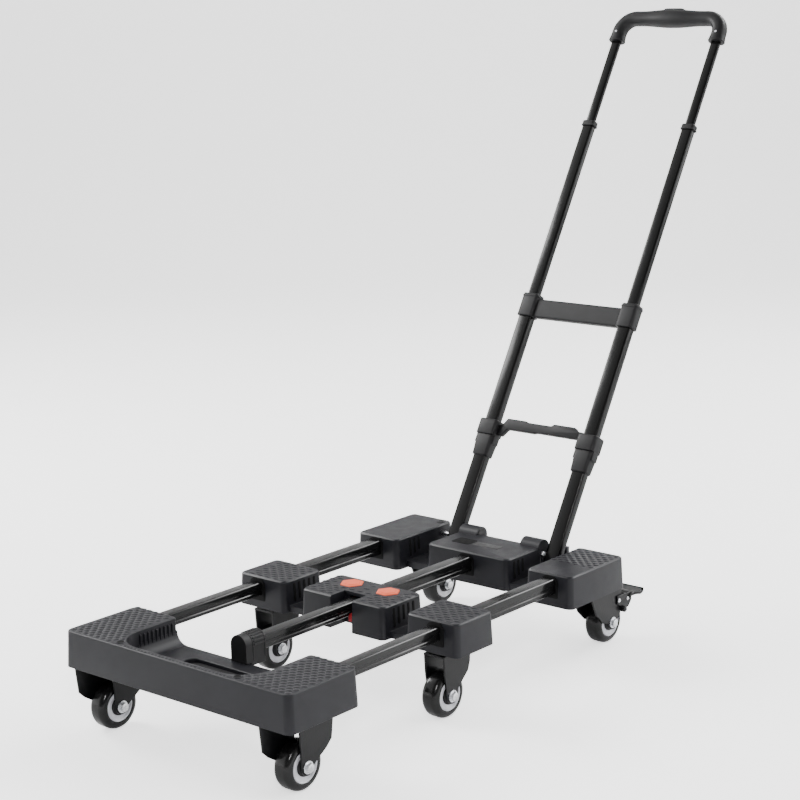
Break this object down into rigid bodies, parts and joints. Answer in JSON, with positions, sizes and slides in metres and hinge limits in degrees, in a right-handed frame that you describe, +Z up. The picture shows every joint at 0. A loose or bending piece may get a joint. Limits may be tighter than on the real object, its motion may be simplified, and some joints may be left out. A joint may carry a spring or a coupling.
{
  "type": "folding luggage cart",
  "caption": "Folding luggage cart with moulded deck blocks on telescoping rails, swivel and fixed casters, and a telescoping handle that folds forward over the deck.",
  "frame": {"origin": "middle of the cart's box, on the floor under it", "axes": "+X to the cart's right seen from behind the handle, +Y from the front bumper to the handle, +Z up"},
  "size_m": [0.3928, 1.1306, 0.8919],
  "materials": {
    "housing": "fine moulded texture",
    "cover": "matt",
    "tube": "gloss black",
    "button": "satin",
    "latch": "satin",
    "steel": "bright",
    "fork": "satin black",
    "tyre": "smooth, polished",
    "hub": "light grey",
    "label": "plain, satin"
  },
  "bodies": {
    "rear": {"rear_housing": "housing", "rear_under_cover": "cover", "outer_rail_left": "tube", "outer_rail_right": "tube", "outer_rail_centre": "tube", "pivot_pin_left": "steel", "pivot_pin_right": "steel", "label_plate": "label"},
    "middle": {"middle_housing": "housing", "middle_under_cover": "cover"},
    "front": {"front_bumper": "housing", "front_under_cover": "cover", "centre_rail_cap": "housing", "inner_rail_left": "tube", "inner_rail_right": "tube", "inner_rail_centre": "tube", "front_fork_left": "fork", "front_fork_right": "fork", "front_axle_left": "steel", "front_axle_right": "steel"},
    "handle_lower": {"lower_tube_left": "tube", "lower_tube_right": "tube", "crossbar": "housing", "lower_sleeve_left": "housing", "lower_sleeve_right": "housing"},
    "handle_middle": {"middle_tube_left": "tube", "middle_tube_right": "tube", "ferrule_left": "cover", "ferrule_right": "cover"},
    "handle_top": {"top_tube_left": "tube", "top_tube_right": "tube", "grip": "housing"},
    "grip_button": {"grip_button": "cover"},
    "yoke": {"release_yoke": "housing"},
    "latch": {"lock_latch": "latch"},
    "button_left": {"release_button_left": "button"},
    "middle_caster_left": {"middle_fork_left": "fork", "middle_axle_left": "steel"},
    "middle_wheel_left": {"middle_tyre_left": "tyre", "middle_hub_left": "hub"},
    "rear_caster_left": {"rear_fork_left": "fork", "rear_axle_left": "steel"},
    "rear_wheel_left": {"rear_tyre_left": "tyre", "rear_hub_left": "hub"},
    "front_wheel_left": {"front_tyre_left": "tyre", "front_hub_left": "hub"},
    "brake_left": {"brake_pedal_left": "fork"},
    "button_right": {"release_button_right": "button"},
    "middle_caster_right": {"middle_fork_right": "fork", "middle_axle_right": "steel"},
    "middle_wheel_right": {"middle_tyre_right": "tyre", "middle_hub_right": "hub"},
    "rear_caster_right": {"rear_fork_right": "fork", "rear_axle_right": "steel"},
    "rear_wheel_right": {"rear_tyre_right": "tyre", "rear_hub_right": "hub"},
    "front_wheel_right": {"front_tyre_right": "tyre", "front_hub_right": "hub"},
    "brake_right": {"brake_pedal_right": "fork"}
  },
  "joints": [
    {"name": "middle_slide", "type": "slide", "parent": "rear", "child": "middle", "axis": [0, 1, 0], "range_m": [0, 0.128]},
    {"name": "front_slide", "type": "slide", "parent": "middle", "child": "front", "axis": [0, 1, 0], "range_m": [0, 0.128]},
    {"name": "handle_pivot", "type": "hinge", "parent": "rear", "child": "handle_lower", "pos_m": [0, 0.10988, 0.1254], "axis": [1, 0, 0], "range_deg": [0, 112]},
    {"name": "handle_middle_slide", "type": "slide", "parent": "handle_lower", "child": "handle_middle", "axis": [0, -0.5075, -0.8616], "range_m": [0, 0.27]},
    {"name": "handle_top_slide", "type": "slide", "parent": "handle_middle", "child": "handle_top", "axis": [0, -0.5075, -0.8616], "range_m": [0, 0.116]},
    {"name": "grip_button_press", "type": "slide", "parent": "handle_top", "child": "grip_button", "axis": [0, -0.5075, -0.8616], "range_m": [0, 0.002], "stiffness_N_per_m": 500, "springref_m": -0.0005},
    {"name": "release_yoke_slide", "type": "slide", "parent": "handle_lower", "child": "yoke", "axis": [0, 0.5075, 0.8616], "range_m": [0, 0.012], "stiffness_N_per_m": 150, "springref_m": -0.002},
    {"name": "latch_slide", "type": "slide", "parent": "middle", "child": "latch", "axis": [0, 0, -1], "range_m": [0, 0.003]},
    {"name": "release_button_left_press", "type": "slide", "parent": "middle", "child": "button_left", "axis": [0, 0, -1], "range_m": [0, 0.003], "stiffness_N_per_m": 400, "springref_m": -0.0008},
    {"name": "middle_swivel_left", "type": "hinge", "parent": "middle", "child": "middle_caster_left", "pos_m": [-0.152, -0.20592, 0.095], "axis": [0, 0, 1], "continuous": true},
    {"name": "middle_wheel_spin_left", "type": "hinge", "parent": "middle_caster_left", "child": "middle_wheel_left", "pos_m": [-0.152, -0.22792, 0.0315], "axis": [1, 0, 0], "continuous": true},
    {"name": "rear_swivel_left", "type": "hinge", "parent": "rear", "child": "rear_caster_left", "pos_m": [-0.152, 0.11608, 0.095], "axis": [0, 0, 1], "continuous": true},
    {"name": "rear_wheel_spin_left", "type": "hinge", "parent": "rear_caster_left", "child": "rear_wheel_left", "pos_m": [-0.152, 0.14608, 0.0315], "axis": [1, 0, 0], "continuous": true},
    {"name": "front_wheel_spin_left", "type": "hinge", "parent": "front", "child": "front_wheel_left", "pos_m": [-0.162, -0.51692, 0.0315], "axis": [1, 0, 0], "continuous": true},
    {"name": "brake_left_press", "type": "hinge", "parent": "rear_caster_left", "child": "brake_left", "pos_m": [-0.152, 0.16008, 0.0635], "axis": [-1, 0, 0], "range_deg": [0, 5]},
    {"name": "release_button_right_press", "type": "slide", "parent": "middle", "child": "button_right", "axis": [0, 0, -1], "range_m": [0, 0.003], "stiffness_N_per_m": 400, "springref_m": -0.0008},
    {"name": "middle_swivel_right", "type": "hinge", "parent": "middle", "child": "middle_caster_right", "pos_m": [0.152, -0.20592, 0.095], "axis": [0, 0, 1], "continuous": true},
    {"name": "middle_wheel_spin_right", "type": "hinge", "parent": "middle_caster_right", "child": "middle_wheel_right", "pos_m": [0.152, -0.22792, 0.0315], "axis": [1, 0, 0], "continuous": true},
    {"name": "rear_swivel_right", "type": "hinge", "parent": "rear", "child": "rear_caster_right", "pos_m": [0.152, 0.11608, 0.095], "axis": [0, 0, 1], "continuous": true},
    {"name": "rear_wheel_spin_right", "type": "hinge", "parent": "rear_caster_right", "child": "rear_wheel_right", "pos_m": [0.152, 0.14608, 0.0315], "axis": [1, 0, 0], "continuous": true},
    {"name": "front_wheel_spin_right", "type": "hinge", "parent": "front", "child": "front_wheel_right", "pos_m": [0.162, -0.51692, 0.0315], "axis": [1, 0, 0], "continuous": true},
    {"name": "brake_right_press", "type": "hinge", "parent": "rear_caster_right", "child": "brake_right", "pos_m": [0.152, 0.16008, 0.0635], "axis": [-1, 0, 0], "range_deg": [0, 5]}
  ],
  "couplings": [
    {"joint": "latch_slide", "follows": "release_button_right_press", "ratio": 1}
  ]
}
